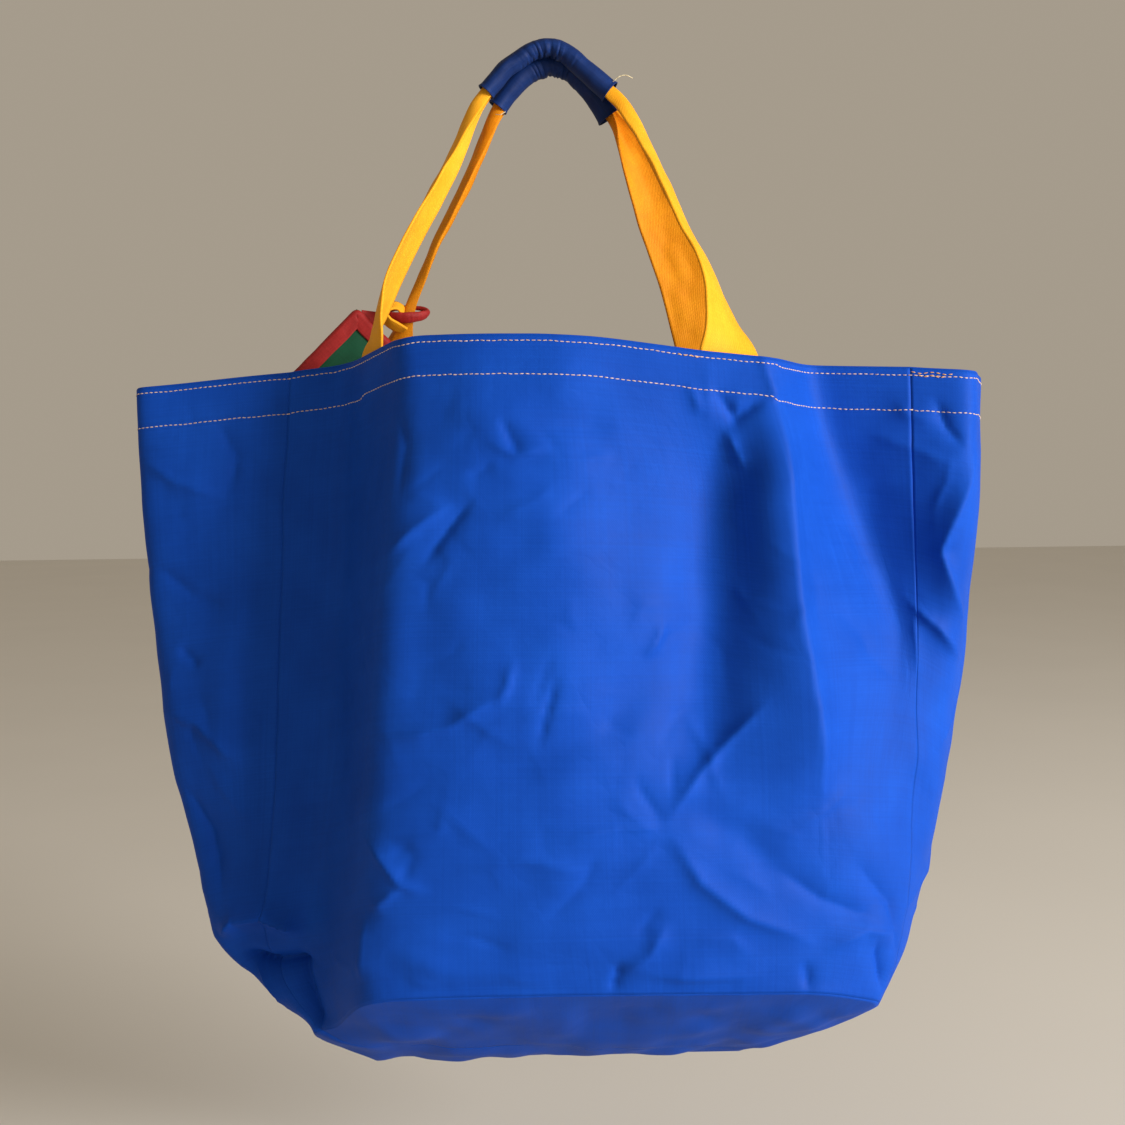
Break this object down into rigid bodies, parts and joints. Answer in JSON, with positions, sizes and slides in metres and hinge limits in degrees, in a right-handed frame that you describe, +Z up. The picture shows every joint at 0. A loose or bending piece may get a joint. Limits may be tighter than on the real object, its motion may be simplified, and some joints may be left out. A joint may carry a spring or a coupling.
{
  "type": "rope storage bag",
  "caption": "Soft open-topped rope bag with a boxed base, two webbing handles with gathered cloth grips, and a small bound pouch on a loop inside.",
  "frame": {"origin": "on top of the peg the bag hangs from, at the underside of the back handle's grip", "axes": "+Z up, -Y out of the front panel away from the wall, +X to the right of a person facing the front"},
  "size_m": [0.5304, 0.1518, 0.6473],
  "materials": {
    "blue_cloth": "coated polyester cloth, soft sheen",
    "grip_cloth": "matt woven polyester, gathered",
    "webbing": "smooth woven polyester webbing",
    "thread": "twisted polyester thread",
    "tape": "matt woven binding tape",
    "pouch_cloth": "matt woven polyester"
  },
  "bodies": {
    "bag": {"back_handle_left_end": "webbing", "back_handle_right_end": "webbing", "back_hem_facing": "blue_cloth", "back_panel": "blue_cloth", "back_rim_stitching": "thread", "back_tack_stitching": "thread", "base_panel": "blue_cloth", "left_gusset": "blue_cloth", "left_hem_facing": "blue_cloth", "left_rim_stitching": "thread", "pouch_loop": "tape", "pouch_loop_tail": "tape", "right_gusset": "blue_cloth", "right_hem_facing": "blue_cloth", "right_rim_stitching": "thread"},
    "front": {"front_panel": "blue_cloth", "front_hem_facing": "blue_cloth", "front_rim_stitching": "thread", "front_handle_left_end": "webbing", "front_handle_right_end": "webbing", "front_tack_stitching": "thread"},
    "front_handle": {"front_handle_webbing": "webbing", "front_grip_sleeve": "grip_cloth"},
    "back_handle": {"back_handle_webbing": "webbing", "back_grip_sleeve": "grip_cloth"},
    "pouch": {"pouch_front_sheet": "pouch_cloth", "pouch_back_sheet": "pouch_cloth", "pouch_binding": "tape"}
  },
  "joints": [
    {"name": "mouth_open", "type": "hinge", "parent": "bag", "child": "front", "pos_m": [0, -0.118, -0.544], "axis": [1, 0, 0], "range_deg": [0, 14], "deforming": ["left_gusset", "left_hem_facing", "left_rim_stitching", "right_gusset", "right_hem_facing", "right_rim_stitching"]},
    {"name": "front_handle_fall", "type": "hinge", "parent": "front", "child": "front_handle", "pos_m": [-0.0015, -0.073, -0.16], "axis": [0.9869, -0.1605, -0.0189], "range_deg": [0, 135]},
    {"name": "back_handle_fall", "type": "hinge", "parent": "bag", "child": "back_handle", "pos_m": [0.0035, 0.013, -0.138], "axis": [1, 0, 0], "range_deg": [-115, 0]},
    {"name": "pouch_swing", "type": "hinge", "parent": "bag", "child": "pouch", "pos_m": [-0.12, 0.005, -0.147], "axis": [0, 1, 0], "range_deg": [-12, 35]}
  ]
}
